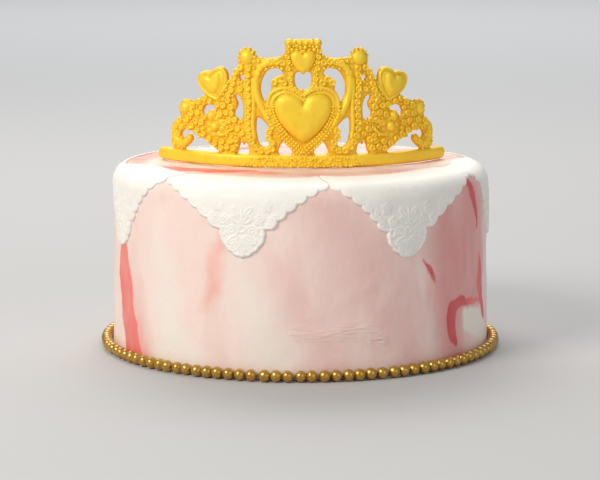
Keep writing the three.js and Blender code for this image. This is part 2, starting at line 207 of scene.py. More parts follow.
# The other colours blend in: each streak has a strength, a blur in millimetres and a path.
SOFT_STREAKS = {
    # The first list deepens the salmon red: partly the streaks' own deeper tone, partly painted shade,
    # strongest on the streaks of the right side, away from the light.
    "deep_tone_and_shade": [
        (0.5, 9, side((-74.5, 56, 4), (-72, 36, 7), (-69, 22, 8), (-63, 2, 9))),
        (1, 6, side((53, 44, 12), (53, 14, 14))),
        (0.9, 3, side((41, 62, 9), (43, 46, 9))),
        (1, 8, side((61, 104, 10), (68, 78, 10))),
        (0.55, 8, side((70, 50, 6), (73, 22, 8))),
    ],
    "blush": [
        (0.6, 5, side((-22.5, 84, 2), (-24.4, 72, 5), (-25, 60, 6.5), (-25.8, 48, 5.5), (-29.4, 37, 2))),
        (0.45, 5, side((-71, 88, 3), (-70, 76, 4), (-68.5, 64, 5))),
        (0.55, 6, side((-65.6, 66, 6), (-63, 36, 9), (-59, 18, 10), (-54, 4, 9))),
        (0.75, 8, top((-100, -10, 6), (-94, 24, 12), (-82, 47, 12), (-70, 62, 8))),
        (0.85, 8, top((-84, -16, 4), (-64, -32, 8), (-42, -38, 9), (-18, -46, 9))),
        (0.62, 12, top((-30, -56, 8), (2, -58, 12), (34, -50, 11), (58, -38, 9))),
        (0.6, 9, top((100, 12, 7), (88, -15, 8), (73, -34, 8))),
        (0.5, 9, top((97, 22, 5), (80, 48, 8), (60, 66, 8))),
    ],
    "rose": [
        (0.85, 12, side((50, 100, 6), (48, 80, 12), (50, 55, 16), (50, 32, 16), (52, 6, 12))),
        (0.85, 10, side((60, 104, 11), (63, 82, 18), (64, 60, 20), (64, 38, 14))),
        (0.37, 24, side((4, 98, 10), (16, 76, 16), (24, 46, 20), (30, 12, 18))),
        (0.3, 14, side((-4, 60, 8), (0, 30, 12), (6, 6, 10))),
        (0.28, 10, side((-58, 88, 4), (-59, 60, 6), (-57, 34, 7), (-54, 6, 6))),
        (0.7, 14, side((92, 100, 8), (96, 60, 12), (90, 10, 12))),
        (0.5, 18, side((128, 70, 10), (134, 30, 14), (140, 4, 12))),
        (0.75, 16, side((176, 96, 8), (179, 50, 12), (174, 8, 10))),
        (0.45, 16, side((-142, 84, 8), (-138, 40, 12), (-144, 6, 12))),
        (0.6, 14, side((-98, 92, 7), (-102, 56, 12), (-96, 10, 10))),
        (0.85, 9, top((-38, 72, 6), (-28, 78, 8), (-14, 82, 6))),
        (0.4, 14, top((-20, 20, 8), (-8, 54, 10), (14, 70, 8))),
        (0.5, 14, top((24, 88, 5), (48, 72, 10), (66, 50, 8))),
    ],
    "cream": [
        (0.85, 11, side((-46, 84, 3), (-45, 60, 7), (-42, 34, 12), (-38, 8, 16))),
        (0.7, 12, side((-18, 60, 4), (-14, 40, 11), (-9, 16, 17), (-6, 4, 15))),
        (0.8, 3, side((-77, 66, 1), (-77, 30, 2), (-74.5, 8, 3))),
        (1, 1.6, side((58.6, 27.5, 2.5), (62, 22, 7), (66, 19, 8), (72, 14, 7))),
        (0.7, 12, side((104, 80, 5), (100, 40, 9), (104, 6, 10))),
        (0.8, 12, side((146, 90, 6), (144, 50, 8), (150, 10, 12))),
        (0.8, 14, side((-172, 80, 7), (-170, 40, 9), (-176, 6, 11))),
        (0.7, 12, side((-130, 90, 5), (-128, 50, 9), (-132, 6, 9))),
    ],
}
# Marks of the hand: depth and distance apart in millimetres, and random seed.
HAND_MARKS = ((0.16, 34, 3), (0.07, 13, 4), (0.025, 5, 5))
DIMPLE = skin_point(6.2, 97.2)  # a small dent under the rim
OVERLAP = side((61.5, 36, 0), (58, 33.6, 0), (55.2, 31, 0), (54, 24, 0), (53.6, 16, 0))  # a pressed fold
DIMPLE_DEPTH, OVERLAP_DEPTH = 0.7, 0.4  # in millimetres, and both this wide:
MARK_WIDTH = 1.1 * MM
CREASES = side((-2, 27, 3), (8, 24, 3), (15, 28, 4), (19, 25, 5), (24, 21, 3))
# How the streaks stray from their paths: distance between bends, reach in millimetres, and seeds.
DRIFTS = ((26, 1.5, (11, 12, 13)), (9, 0.5, (14, 15, 16)))
SKIN_COLUMNS = 480
TOP_ROWS, RIM_ROWS, SIDE_ROWS = 66, 13, 78


def cake_points():
    """The skin in rings from the middle of the top down to under the foot, then its two tips."""
    runs = np.concatenate([
        np.linspace(-(CAKE_RADIUS - RIM_ROUND) + 1.5 * MM, -1.6 * MM, TOP_ROWS),
        np.linspace(0, RIM_LENGTH, RIM_ROWS),
        np.linspace(RIM_LENGTH + 1.2 * MM, run_at(SOFT_FOOT), SIDE_ROWS),
    ])
    turn = np.linspace(-math.pi, math.pi, SKIN_COLUMNS, endpoint=False)
    skin = on_skin(turn[None, :], runs[:, None], 0.0).reshape(-1, 3)
    up = on_skin(turn[None, :], runs[:, None], 1 * MM).reshape(-1, 3) - skin
    uneven = sum(depth * swell(skin, apart * MM, seed) for depth, apart, seed in HAND_MARKS)
    uneven = uneven * smooth_step(0, 12 * MM, skin[:, 2])
    uneven -= DIMPLE_DEPTH * corded(np.linalg.norm(skin - DIMPLE, axis=1), MARK_WIDTH)
    uneven -= OVERLAP_DEPTH * corded(inside_streak(skin, OVERLAP), MARK_WIDTH)
    foot = []
    for share in (0.35, 0.7, 1.0):
        lean = share * math.pi / 2
        radius = FOOT_RADIUS - SOFT_FOOT * (1 - math.cos(lean))
        height = np.full(SKIN_COLUMNS, SOFT_FOOT * (1 - math.sin(lean)))
        foot.append(np.stack([radius * np.sin(turn), -radius * np.cos(turn), height], -1))
    return np.concatenate([skin + up * uneven[:, None], *foot, [[0, 0, CAKE_HEIGHT], [0, 0, 0]]])


def marble(piece, points):
    """Paints how far each point is inside the sharp streaks, and how strong the soft ones are there."""
    normals = np.empty(points.size)
    piece.data.vertex_normals.foreach_get("vector", normals)
    normals = normals.reshape(-1, 3)
    drift = np.zeros_like(points)
    for length, reach, seeds in DRIFTS:
        drift += np.stack([swell(points, length * MM, seed) for seed in seeds], -1) * reach * MM
    strayed = points + drift - normals * np.sum(drift * normals, axis=1)[:, None]
    sharp = np.max([inside_streak(strayed, path) for path in SALMON_STREAKS], axis=0)
    paint(piece, "salmon_edge", np.clip(sharp, -20 * MM, 20 * MM))
    paint(piece, "creased", smooth_step(-3 * MM, 3 * MM, inside_streak(points, CREASES)))
    for name, streaks in SOFT_STREAKS.items():
        clear = [1 - strength * smooth_step(-blur * MM, blur * MM, inside_streak(strayed, path))
                 for strength, blur, path in streaks]
        paint(piece, name, 1 - np.prod(clear, axis=0))


points = cake_points()
cake = ringed_piece("sugar_paste_cake", points, SKIN_COLUMNS)
marble(cake, points)

# Rolled sugar paste: the painted fields mix rose, cream and salmon, and drawn-out noise gives the
# eye the fine veins that run down the side. The sheen is the satin of paste polished with a smoother.
material, tree = new_material("marbled sugar paste")
place = add(tree, "ShaderNodeTexCoord", {}).outputs["Object"]
drawn_out = add(tree, "ShaderNodeMapping", {"Vector": place, "Scale": (1.0, 1.0, 0.28)})
slanted = add(tree, "ShaderNodeMapping", {
    "Vector": place, "Rotation": (0.0, 0.7, 0.0), "Scale": (1.0, 1.0, 5.0)})
# Each pattern: what it lies along, how many to a metre, then detail, roughness and distortion.
noise = {}
for name, along_what, to_a_metre, detail, roughness, distortion in (
    ("cloud", drawn_out, 28, 3, 0.5, 0.9),  # 36 mm across
    ("vein", drawn_out, 95, 5, 0.55, 0.6),  # 10 mm apart
    ("dent", place, 130, 4, 0.5, 0),  # 8 mm, from the smoother
    ("crease", slanted, 140, 2, 0.5, 0),  # 7 mm long and a fifth as high
    ("fray", place, 420, 3, 0.6, 0),  # 2.4 mm
    ("grain", place, 900, 4, 0.6, 0),  # 1.1 mm: icing sugar is finer, and would not show
):
    noise[name] = add(tree, "ShaderNodeTexNoise", {
        "Vector": along_what, "Scale": to_a_metre, "Detail": detail, "Roughness": roughness,
        "Distortion": distortion})
painted = {name: add(tree, "ShaderNodeAttribute", {}, attribute_name=name).outputs["Fac"]
           for name in ("rose", "cream", "blush", "deep_tone_and_shade", "salmon_edge", "creased")}
cloudy = add(tree, "ShaderNodeMapRange", {
    "Value": noise["cloud"], "From Min": 0.35, "From Max": 0.65, "To Min": -0.16, "To Max": 0.16})
veined = add(tree, "ShaderNodeMapRange", {
    "Value": noise["vein"], "From Min": 0.3, "From Max": 0.7, "To Min": -0.14, "To Max": 0.14})
mottle = add(tree, "ShaderNodeMath", {0: cloudy, 1: veined}, operation="ADD")
rosy, creamy, peachy = [
    add(tree, "ShaderNodeMath", {0: painted[name], 1: mottle}, operation="ADD", use_clamp=True)
    for name in ("rose", "cream", "blush")]
peachy = add(tree, "ShaderNodeMath", {0: peachy, 1: painted["blush"]}, operation="MULTIPLY")
paste = linear("#f7ded4")
for share, colour in ((rosy, "#e29592"), (creamy, "#f3eadf"), (peachy, "#f28a76")):
    mixed = add(tree, "ShaderNodeMix", {0: share, 6: paste, 7: linear(colour)}, data_type="RGBA")
    paste = mixed.outputs[2]
# Painted shade in part: the salmon red turns deeper where the first list of soft streaks is strong, most on
# the cake's right side.
salmon = add(tree, "ShaderNodeMix", {
    0: painted["deep_tone_and_shade"], 6: linear("#f47c72"), 7: linear("#d8434a")}, data_type="RGBA")
frayed = add(tree, "ShaderNodeMath", {0: noise["fray"], 1: 1.6 * MM, 2: -0.8 * MM}, operation="MULTIPLY_ADD")
frayed = add(tree, "ShaderNodeMath", {0: frayed, 1: painted["salmon_edge"]}, operation="ADD")
inner = add(tree, "ShaderNodeMapRange", {
    "Value": frayed, "From Min": -1 * MM, "From Max": 1 * MM, "To Max": 0.95},
    interpolation_type="SMOOTHSTEP")
streaky = add(tree, "ShaderNodeMath", {0: inner, 1: veined}, operation="ADD", use_clamp=True)
streaky = add(tree, "ShaderNodeMath", {0: streaky, 1: inner}, operation="MULTIPLY")
paste = add(tree, "ShaderNodeMix", {0: streaky, 6: paste, 7: salmon.outputs[2]}, data_type="RGBA")
creased = add(tree, "ShaderNodeMath", {0: noise["crease"], 1: painted["creased"]}, operation="MULTIPLY")
relief = add(tree, "ShaderNodeBump", {"Height": noise["grain"], "Strength": 0.25, "Distance": 0.2 * MM})
relief = add(tree, "ShaderNodeBump", {
    "Height": noise["dent"], "Strength": 0.35, "Distance": 0.9 * MM, "Normal": relief})
relief = add(tree, "ShaderNodeBump", {
    "Height": creased, "Strength": 0.4, "Distance": 1.8 * MM, "Normal": relief})
rough = add(tree, "ShaderNodeMapRange", {
    "Value": noise["dent"], "From Min": 0.3, "From Max": 0.7, "To Min": 0.46, "To Max": 0.62})
surface = add(tree, "ShaderNodeBsdfPrincipled", {
    "Base Color": paste.outputs[2], "Roughness": rough, "Normal": relief, "IOR": 1.46,
    "Subsurface Weight": 0.12, "Subsurface Radius": (1.0, 0.55, 0.4), "Subsurface Scale": 2 * MM})
add(tree, "ShaderNodeOutputMaterial", {"Surface": surface})
cake.data.materials.append(material)
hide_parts("cake_body")
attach(cake, "root")

# ---- The lace doilies ----
# Seven triangles of thin white sugar paste, pressed in a lace mould, laid over the rim edge to
# edge with their points hanging down the side. Each is a fine closed sheet: cut to a scalloped
# outline in the flat, embossed, then draped on the skin and stuck down with a damp brush.

# Each doily: its corners and its tip in degrees from the front, the tip's height, and the inner
# edge's distance from the cake's middle at the left, the centre and the right, in millimetres.
DOILIES = [
    ((-87.5, -45.5), -68.0, 63.5, (140, 84, 87)),
    ((-45.3, 8.7), -16.6, 66.6, (85, 79, 69)),
    ((8.9, 65.3), 32.4, 64.5, (68, 77, 80)),
    ((65.5, 109.9), 83.4, 66.0, (81, 88, 200)),
    ((110.1, 163.3), 136.0, 61.5, (103, 103, 102)),
    ((163.5, 217.7), 190.0, 60.5, (102, 101, 103)),
    ((217.9, 272.3), 244.0, 61.5, (103, 103, 103)),
]
LACE_THICKNESS = 0.85 * MM
LACE_BACK = -0.3 * MM  # pressed this far into the cake's paste
LACE_FRONT = 0.25 * MM  # and its thickness counts from here outwards
EMBOSSING = 0.55 * MM
# The flat pattern is in millimetres.
LACE_CELL = 0.45
SIDE_SCALLOPS = 6
SIDE_DEPTH, LOBE_DEPTH, INNER_DEPTH = 1.5, 0.8, 0.7
CORNER_RUN = 4
SIDE_SAG = 2.4
LOBE = [(12.3, 15.4), (12.5, 11), (9.7, 6), (5.9, 2.5), (1.7, 0.5)]
HEM = 1.2  # the raised hem's distance from the edge
CORD = 0.55  # width of the raised lines, of the motifs' finer ones, and the spokes' reach
MOTIF_CORD = 0.5
SPOKE_REACH, SPOKE_FAN = 3.4, (-0.55, 0, 0.55)
NET_MESH = 2.1


def scalloped(nodes, depth):
    """Points of a row of arcs through nodes, each bulging outwards by depth."""
    steps = 6
    points = []
    for (x0, y0), (x1, y1) in zip(nodes, nodes[1:]):
        dx, dy, length = x1 - x0, y1 - y0, math.hypot(x1 - x0, y1 - y0)
        for share in (step / steps for step in range(steps)):
            reach = depth * math.sin(math.pi * share) ** 0.8
            points.append((x0 + dx * share - dy / length * reach, y0 + dy * share + dx / length * reach))
    return points


def half_doily(across, swing, bottom):
    """The nodes of the half with its tip at swing: its slanting side, then half of the tip's lobe."""
    start = np.array([across, -CORNER_RUN])
    stop = np.array([swing + LOBE[0][0] + 2.4, bottom + LOBE[0][1] - 0.2])
    way = stop - start
    out = np.array([-way[1], way[0]]) / np.linalg.norm(way)
    share = np.linspace(0, 1, SIDE_SCALLOPS + 1)[:, None]
    slanting = start + way * share - out * SIDE_SAG * np.sin(math.pi * share)
    return [tuple(p) for p in slanting], [(swing + x, bottom + y) for x, y in LOBE]


def mirrored(nodes):
    """The nodes of the other half, in the order that goes on round."""
    return [(-x, y) for x, y in reversed(nodes)]


def squared_gap(x, y, start, stop):
    """Squared distance of every x and y from the line between two points."""
    (ax, ay), (bx, by) = start, stop
    dx, dy = bx - ax, by - ay
    share = np.clip(((x - ax) * dx + (y - ay) * dy) / max(dx * dx + dy * dy, 1e-12), 0, 1)
    return (x - ax - share * dx) ** 2 + (y - ay - share * dy) ** 2


def line_gap(x, y, points):
    """Distance of every x and y from an open line of points."""
    gaps = (squared_gap(x, y, start, stop) for start, stop in zip(points, points[1:]))
    return np.sqrt(reduce(np.minimum, gaps))


def outline_field(x, y, outline):
    """Distance of every x and y inside a closed outline, negative outside."""
    inside = np.zeros(x.shape, bool)
    for (ax, ay), (bx, by) in zip(outline, outline[1:] + outline[:1]):
        if ay != by:
            inside ^= ((ay > y) != (by > y)) & (x < ax + (y - ay) / (by - ay) * (bx - ax))
    return np.where(inside, 1, -1) * line_gap(x, y, outline + outline[:1])


def cut_sheet(x, y, field, cell):
    """Vertices and faces of a grid where field is positive, with its border moved onto the outline."""
    slope_y, slope_x = np.gradient(field, cell)
    steep = np.maximum(slope_x**2 + slope_y**2, 0.25)
    near = np.abs(field) < 0.6 * cell
    x = np.where(near, x - field * slope_x / steep, x)
    y = np.where(near, y - field * slope_y / steep, y)
    field = np.where(near, 0, field)
    index = np.arange(x.size).reshape(x.shape)
    corners = np.stack([index[:-1, :-1], index[:-1, 1:], index[1:, 1:], index[1:, :-1]], -1).reshape(-1, 4)
    kept = (field >= 0).ravel()[corners]
    faces = [tuple(whole) for whole in corners[kept.all(1)].tolist()]
    cropped = kept.sum(1) == 3
    for cell_corners, flags in zip(corners[cropped].tolist(), kept[cropped].tolist()):
        faces.append(tuple(corner for corner, flag in zip(cell_corners, flags) if flag))
    return x.ravel(), y.ravel(), field.ravel(), faces


def close_sheet(name, front, back, faces):
    """A closed piece from a front and a back that share their faces."""
    used = sorted({c for face in faces for c in face})
    number = {c: i for i, c in enumerate(used)}
    size = len(used)
    faces = [tuple(number[c] for c in face) for face in faces]
    borders = set()
    for face in faces:
        for a, b in zip(face, face[1:] + face[:1]):
            if (b, a) in borders:
                borders.remove((b, a))
            else:
                borders.add((a, b))
    walls = [(b, a, a + size, b + size) for a, b in sorted(borders)]
    rear = [tuple(c + size for c in reversed(face)) for face in faces]
    return mesh_piece(name, np.concatenate([front[used], back[used]]), faces + rear + walls)


def ring(cx, cy, rx, ry, lean=0.0, start=0.0, stop=360.0):
    """An ellipse's line round a middle, leaning by some degrees."""
    turn, tilt = np.radians(np.linspace(start, stop, 15)), math.radians(lean)
    u, v = rx * np.cos(turn), ry * np.sin(turn)
    x = cx + u * math.cos(tilt) - v * math.sin(tilt)
    return list(zip(x, cy + u * math.sin(tilt) + v * math.cos(tilt)))


def lace_motifs():
    """Embossed lines of the right half, in millimetres from the lowest point of the tip."""
    eye_and_curls = [ring(0, 15.4, 1.7, 1.7), ring(5.4, 14.4, 3.1, 2.7, 20, -60, 250),
                     ring(5.6, 14.6, 1.3, 1.2), ring(10.2, 14.2, 1.6, 2.2)]
    petals = []
    for lean, reach in ((-90, 4.6), (-52, 4.3), (-18, 3.9)):
        cosine, sine = math.cos(math.radians(lean)), math.sin(math.radians(lean))
        cx, cy, vein = reach * 1.15 * cosine, 10.8 + reach * 1.15 * sine, 0.6 * reach
        petals.append(ring(cx, cy, reach, 1.75, lean))
        petals.append([(cx + end * vein * cosine, cy + end * vein * sine) for end in (-1, 1)])
    stem_and_leaves = [[(0, 18), (0.2, 22), (0, 27)], ring(3.2, 20.6, 2.8, 1.2, 40),
                       ring(3.4, 25, 2.8, 1.1, 48)]
    flowers = [ring(cx + 1.75 * math.cos(t), cy + 1.75 * math.sin(t), 1.05, 0.8, math.degrees(t))
               for cx, cy in ((9.4, 20.4), (17.4, 20.6), (24.6, 27.4), (13.6, 27.8))
               for t in np.linspace(0.3, 6.58, 6)[:5]]
    buds = [ring(0, 37, 1.6, 1.0), ring(4.6, 37.4, 1.8, 0.9, 25), ring(9.4, 38, 1.8, 0.9, -20)]
    return eye_and_curls + petals + stem_and_leaves + flowers + buds


MOTIFS = lace_motifs()


def spokes(nodes):
    """Three short lines that fan out from each scallop of a side into the sheet."""
    for (ax, ay), (bx, by) in zip(nodes, nodes[1:]):
        cx, cy, length = (ax + bx) / 2, (ay + by) / 2, math.hypot(bx - ax, by - ay)
        nx, ny = (by - ay) / length, -(bx - ax) / length
        for fan in SPOKE_FAN:
            wx = nx * math.cos(fan) - ny * math.sin(fan)
            wy = nx * math.sin(fan) + ny * math.cos(fan)
            start = cx - nx * 0.2 - wx * 0.3, cy - ny * 0.2 - wy * 0.3
            yield [start, (cx + wx * SPOKE_REACH, cy + wy * SPOKE_REACH)]


def lace_relief(x, y, swing, bottom, inward, sides):
    """The embossing's height, 0 to 1: the hem, the motifs, the spokes and the net, faint at the rim."""
    u, v = np.abs(x - swing), y - bottom
    ridge = 0.8 * corded(inward - HEM, CORD)
    for line in MOTIFS:
        ridge = np.maximum(ridge, corded(line_gap(u, v, line), MOTIF_CORD))
    for nodes in sides:
        for spoke in spokes(nodes):
            ridge = np.maximum(ridge, 0.8 * corded(line_gap(x, y, spoke), CORD))
    net = np.minimum(*(np.abs(np.sin((u + way) * math.pi / NET_MESH)) for way in (v, -v)))
    ridge = np.maximum(ridge, 0.45 * smooth_step(0.5, 0.1, net) * smooth_step(30, 22, v + 0.4 * u))
    return ridge * (0.25 + 0.75 * smooth_step(40, 18, v)) * smooth_step(0, 0.8, inward)


def build_doily(name, corners, point, tip, inner):
    """One doily, cut and embossed in the flat and draped on the skin."""
    left, right = np.radians(corners)
    middle, across = (left + right) / 2, (right - left) / 2 * CAKE_RADIUS / MM
    swing = (math.radians(point) - middle) * CAKE_RADIUS / MM
    bottom = -run_at(tip * MM) / MM
    right_side, right_lobe = half_doily(across, swing, bottom)
    left_side, left_lobe = (mirrored(nodes) for nodes in half_doily(across, -swing, bottom))
    share = np.linspace(-1, 1, 12)
    ends = np.where(share < 0, inner[0], inner[2])
    reach = (CAKE_RADIUS - RIM_ROUND) / MM - (inner[1] + (ends - inner[1]) * share**4)
    reach = np.maximum(reach, -0.3 * RIM_ROUND / MM)
    outline = scalloped(right_side, SIDE_DEPTH) + scalloped(right_lobe + left_lobe, LOBE_DEPTH)
    outline += scalloped(left_side, SIDE_DEPTH) + scalloped(list(zip(share * across, reach)), INNER_DEPTH)
    columns = np.arange(-across - 3, across + 3, LACE_CELL)
    x, y = np.meshgrid(columns, np.arange(bottom - 2, max(reach) + 3, LACE_CELL))
    x, y, inward, faces = cut_sheet(x, y, outline_field(x, y, outline), LACE_CELL)

    def draped(lift):
        """The sheet's points on the skin, at a height above it."""
        return on_skin(middle + x * MM / CAKE_RADIUS, -y * MM, lift)

    edge = np.sqrt(1 - (1 - np.clip(inward / 0.9, 0, 1)) ** 2)
    lift = LACE_FRONT + LACE_THICKNESS * (0.45 + 0.55 * edge) + 0.08 * MM * swell(draped(0.0), 16 * MM, 21)
    lift = lift + EMBOSSING * lace_relief(x, y, swing, bottom, inward, (right_side, left_side))
    return close_sheet(name, draped(lift), draped(LACE_BACK), faces)


# Pressed sugar paste: matt, warm white, slightly deeper in drifts 17 mm across. Its chalky grain
# is 0.7 mm, which is coarser than icing sugar, so that it shows.
material, tree = new_material("white embossed sugar paste")
place = add(tree, "ShaderNodeTexCoord", {}).outputs["Object"]
chalk = add(tree, "ShaderNodeTexNoise", {"Vector": place, "Scale": 1400, "Detail": 4, "Roughness": 0.6})
cloud = add(tree, "ShaderNodeTexNoise", {"Vector": place, "Scale": 60, "Detail": 4, "Roughness": 0.5})
tint = add(tree, "ShaderNodeMapRange", {"Value": cloud, "From Min": 0.3, "From Max": 0.7})
paste = add(tree, "ShaderNodeMix", {0: tint, 6: linear("#f2ede5"), 7: linear("#f9f6f0")}, data_type="RGBA")
relief = add(tree, "ShaderNodeBump", {"Height": chalk, "Strength": 0.3, "Distance": 0.15 * MM})
surface = add(tree, "ShaderNodeBsdfPrincipled", {
    "Base Color": paste.outputs[2], "Roughness": 0.62, "Normal": relief, "IOR": 1.46,
    "Subsurface Weight": 0.08, "Subsurface Radius": (1.0, 0.85, 0.7), "Subsurface Scale": 1.5 * MM})
add(tree, "ShaderNodeOutputMaterial", {"Surface": surface})
for number, doily in enumerate(DOILIES, 1):
    piece = build_doily(f"lace_doily_{number}", *doily)
    piece.data.materials.append(material)
    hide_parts(f"lace_panel_{number}")
    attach(piece, "root")

# ---- The pearl border ----
# A strand of 6.5 mm sugar pearls in antique gold lustre, laid round the foot on the surface the
# cake stands on, each touching the next and none of them perfectly round or quite in line.

PEARL_COUNT = 108
PEARL_RADIUS = 3.25 * MM
PEARL_RING = FOOT_RADIUS + 0.3 * MM + PEARL_RADIUS + 0.1 * MM


def new_recipe(name, inputs):
    """An empty Geometry Nodes tree with a geometry input and named inputs, and its input node."""
    tree = bpy.data.node_groups.new(name, "GeometryNodeTree")
    tree.interface.new_socket("Geometry", in_out="INPUT", socket_type="NodeSocketGeometry")
    for label, kind in inputs.items():
        tree.interface.new_socket(label, in_out="INPUT", socket_type=kind)
    tree.interface.new_socket("Geometry", in_out="OUTPUT", socket_type="NodeSocketGeometry")
    return tree, add(tree, "NodeGroupInput", {})


def grown(name, seeds, recipe, values, sizes=1.0):
    """The plain mesh that a recipe makes from seeds of their own sizes, as an object of its own."""
    mesh = bpy.data.meshes.new(name)
    mesh.from_pydata(seeds, [], [])
    host = bpy.data.objects.new(name, mesh)
    bpy.context.scene.collection.objects.link(host)
    paint(host, "size", np.broadcast_to(sizes, len(seeds)))
    modifier = host.modifiers.new("recipe", "NODES")
    modifier.node_group = recipe
    for item in recipe.interface.items_tree:
        if item.name in values and item.in_out == "INPUT":
            modifier[item.identifier] = values[item.name]
    made = bpy.data.meshes.new_from_object(host.evaluated_get(bpy.context.evaluated_depsgraph_get()))
    host.modifiers.remove(modifier)
    host.data = made
    made.name = name
    made.shade_smooth()
    return host


# Antique gold lustre dust, brushed on: a brown gold sheen, darker where the dust is thin. The dust
# lies in specks of 1.4 mm, coarser than real so that they show, and the tint drifts every 8 mm.
material, tree = new_material("antique gold pearl lustre")
place = add(tree, "ShaderNodeTexCoord", {}).outputs["Object"]
dust = add(tree, "ShaderNodeTexNoise", {"Vector": place, "Scale": 700, "Detail": 4, "Roughness": 0.6})
batch = add(tree, "ShaderNodeTexNoise", {"Vector": place, "Scale": 120, "Detail": 2, "Roughness": 0.5})
thin = add(tree, "ShaderNodeMapRange", {"Value": dust, "From Min": 0.35, "From Max": 0.65})
drift = add(tree, "ShaderNodeMapRange", {"Value": batch, "From Min": 0.35, "From Max": 0.65})
gold = add(tree, "ShaderNodeMix", {0: thin, 6: linear("#ad8232"), 7: linear("#d6ac52")}, data_type="RGBA")
gold = add(tree, "ShaderNodeMix", {0: drift, 6: gold.outputs[2], 7: linear("#c0953c")}, data_type="RGBA")
relief = add(tree, "ShaderNodeBump", {"Height": dust, "Strength": 0.3, "Distance": 0.12 * MM})
rough = add(tree, "ShaderNodeMapRange", {
    "Value": dust, "From Min": 0.3, "From Max": 0.7, "To Min": 0.27, "To Max": 0.4})
surface = add(tree, "ShaderNodeBsdfPrincipled", {
    "Base Color": gold.outputs[2], "Metallic": 0.82, "Roughness": rough, "Normal": relief, "IOR": 1.5,
    "Coat Weight": 0.5, "Coat Roughness": 0.24})
add(tree, "ShaderNodeOutputMaterial", {"Surface": surface})

# The recipe: spheres on the points of the ring, each with its own size, turned its own way and
# pushed slightly out of round.
recipe, given = new_recipe("pearl strand", {
    "Radius": "NodeSocketFloat", "Seed": "NodeSocketInt", "Lustre": "NodeSocketMaterial"})
ball = add(recipe, "GeometryNodeMeshUVSphere", {
    "Segments": 26, "Rings": 16, "Radius": given.outputs["Radius"]})
size = add(recipe, "FunctionNodeRandomValue", {
    2: 0.975, 3: 1.025, "Seed": given.outputs["Seed"]}, data_type="FLOAT")
spin = add(recipe, "FunctionNodeRandomValue", {
    0: (0.0, 0.0, 0.0), 1: (6.28, 6.28, 6.28), "Seed": given.outputs["Seed"]}, data_type="FLOAT_VECTOR")
placed = add(recipe, "GeometryNodeInstanceOnPoints", {
    "Points": given, "Instance": ball, "Rotation": spin, "Scale": size.outputs[1]})
real = add(recipe, "GeometryNodeRealizeInstances", {0: placed})
where = add(recipe, "GeometryNodeInputPosition", {})
lumpy = add(recipe, "ShaderNodeTexNoise", {"Vector": where, "Scale": 210, "Detail": 1})
outward = add(recipe, "GeometryNodeInputNormal", {})
push = add(recipe, "ShaderNodeMath", {0: lumpy, 1: 0.4 * MM, 2: -0.2 * MM}, operation="MULTIPLY_ADD")
shift = add(recipe, "ShaderNodeVectorMath", {0: outward, "Scale": push}, operation="SCALE")
moved = add(recipe, "GeometryNodeSetPosition", {0: real, "Offset": shift})
coated = add(recipe, "GeometryNodeSetMaterial", {0: moved, "Material": given.outputs["Lustre"]})
add(recipe, "NodeGroupOutput", {0: coated})

chance = np.random.default_rng(31)
turn = (np.arange(PEARL_COUNT) + 0.06 * chance.uniform(-1, 1, PEARL_COUNT)) * 2 * math.pi / PEARL_COUNT
out = PEARL_RING + chance.uniform(-0.15, 0.25, PEARL_COUNT) * MM
seeds = np.stack([out * np.sin(turn), -out * np.cos(turn), np.full(PEARL_COUNT, PEARL_RADIUS)], -1)
pearls = grown("gold_pearls", seeds, recipe, {"Radius": PEARL_RADIUS, "Seed": 8, "Lustre": material})
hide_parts("pearl_border")
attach(pearls, "root")

# ---- The gold tiara ----
# Gum paste pressed flat in a crown mould, dried against a round former, painted in gold lustre and
# stood on the cake. The casting is one height over a flat sheet: pierced ground, straps, hearts and
# settings that run into each other like paste in a mould. It is designed flat, then bent round.

TIARA_FACE = 99.6  # radius at which the flat design keeps its length
FORMER_RADIUS = 96.4
TIARA_CENTRE = (0.3, 70.7)
TIARA_TURN = math.radians(0.85)
TIARA_LIFT = 0.3
CASTING_CELL = 0.46
BAND_LENGTH = 204.8
GROUND = 1.7
ROSETTE_BED = 1.9
ROSETTE, SMALL_ROSETTE = 1.95, 1.5

# The right half in millimetres, x along the band and y up: the sheet, its openings, and lines.
SHEETS = [
    [(-20, 0), (37, 0), (38, 44), (38.7, 57.4), (38.6, 62.4), (36.8, 66.6), (33.2, 68), (29.6, 66.4),
     (27.8, 62.2), (10.2, 62.8), (10.4, 71.6), (9, 73.4), (-20, 73)],
    [(36, 6), (50, 6), (53.5, 9.6), (62, 14.4), (68, 17.4), (72.6, 19.6), (74, 36.7), (65, 36.8),
     (60.4, 40.4), (61, 51), (49, 53), (43.4, 48.8), (41, 53.7), (38.7, 57.4), (36, 57.4)],
    [(70, 18.4), (74.6, 20), (78.4, 19.2), (80.4, 16.8), (79.6, 14.8), (77.2, 14), (75, 14.8), (72.8, 16.8),
     (70.6, 16), (71, 13.8), (73.6, 11), (77.6, 8.4), (78, 6), (86.4, 6), (88.9, 11.8), (89.8, 17),
     (88.6, 21), (85, 24.4), (80.6, 26.4), (81.8, 31.4), (80.2, 35.6), (77, 37.2), (70, 36.7)],
]
